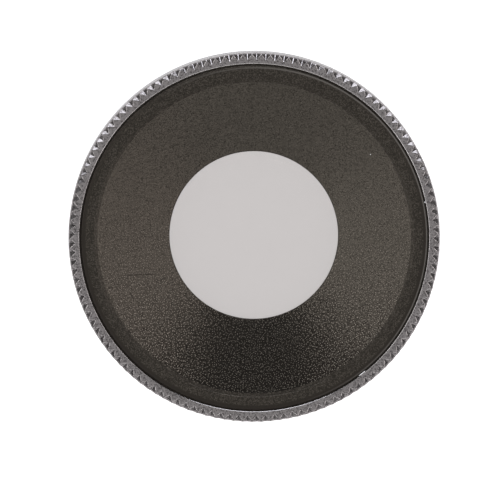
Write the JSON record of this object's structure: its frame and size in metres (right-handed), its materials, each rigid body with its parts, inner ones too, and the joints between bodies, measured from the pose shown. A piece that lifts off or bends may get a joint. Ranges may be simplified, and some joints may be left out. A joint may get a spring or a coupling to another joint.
{
  "type": "screw-in lens filter",
  "caption": "Round screw-in lens filter: grey metal ring with a notched front edge and a male filter thread, black dished bezel and a light grey glass disc.",
  "frame": {"origin": "on the optical axis, at the rear end of the male thread, where the filter rests on a table", "axes": "+Z along the optical axis towards the front of the filter, X and Y across it"},
  "size_m": [0.0396, 0.0396, 0.0054],
  "materials": {
    "ring_grey": "grey anodised, bead blasted",
    "bezel_black": "black anodised, blasted cone with a smooth outer ring",
    "glass_grey": "polished, light neutral grey"
  },
  "bodies": {
    "root": {"filter_ring": "ring_grey", "front_bezel": "bezel_black", "filter_glass": "glass_grey"}
  },
  "joints": []
}
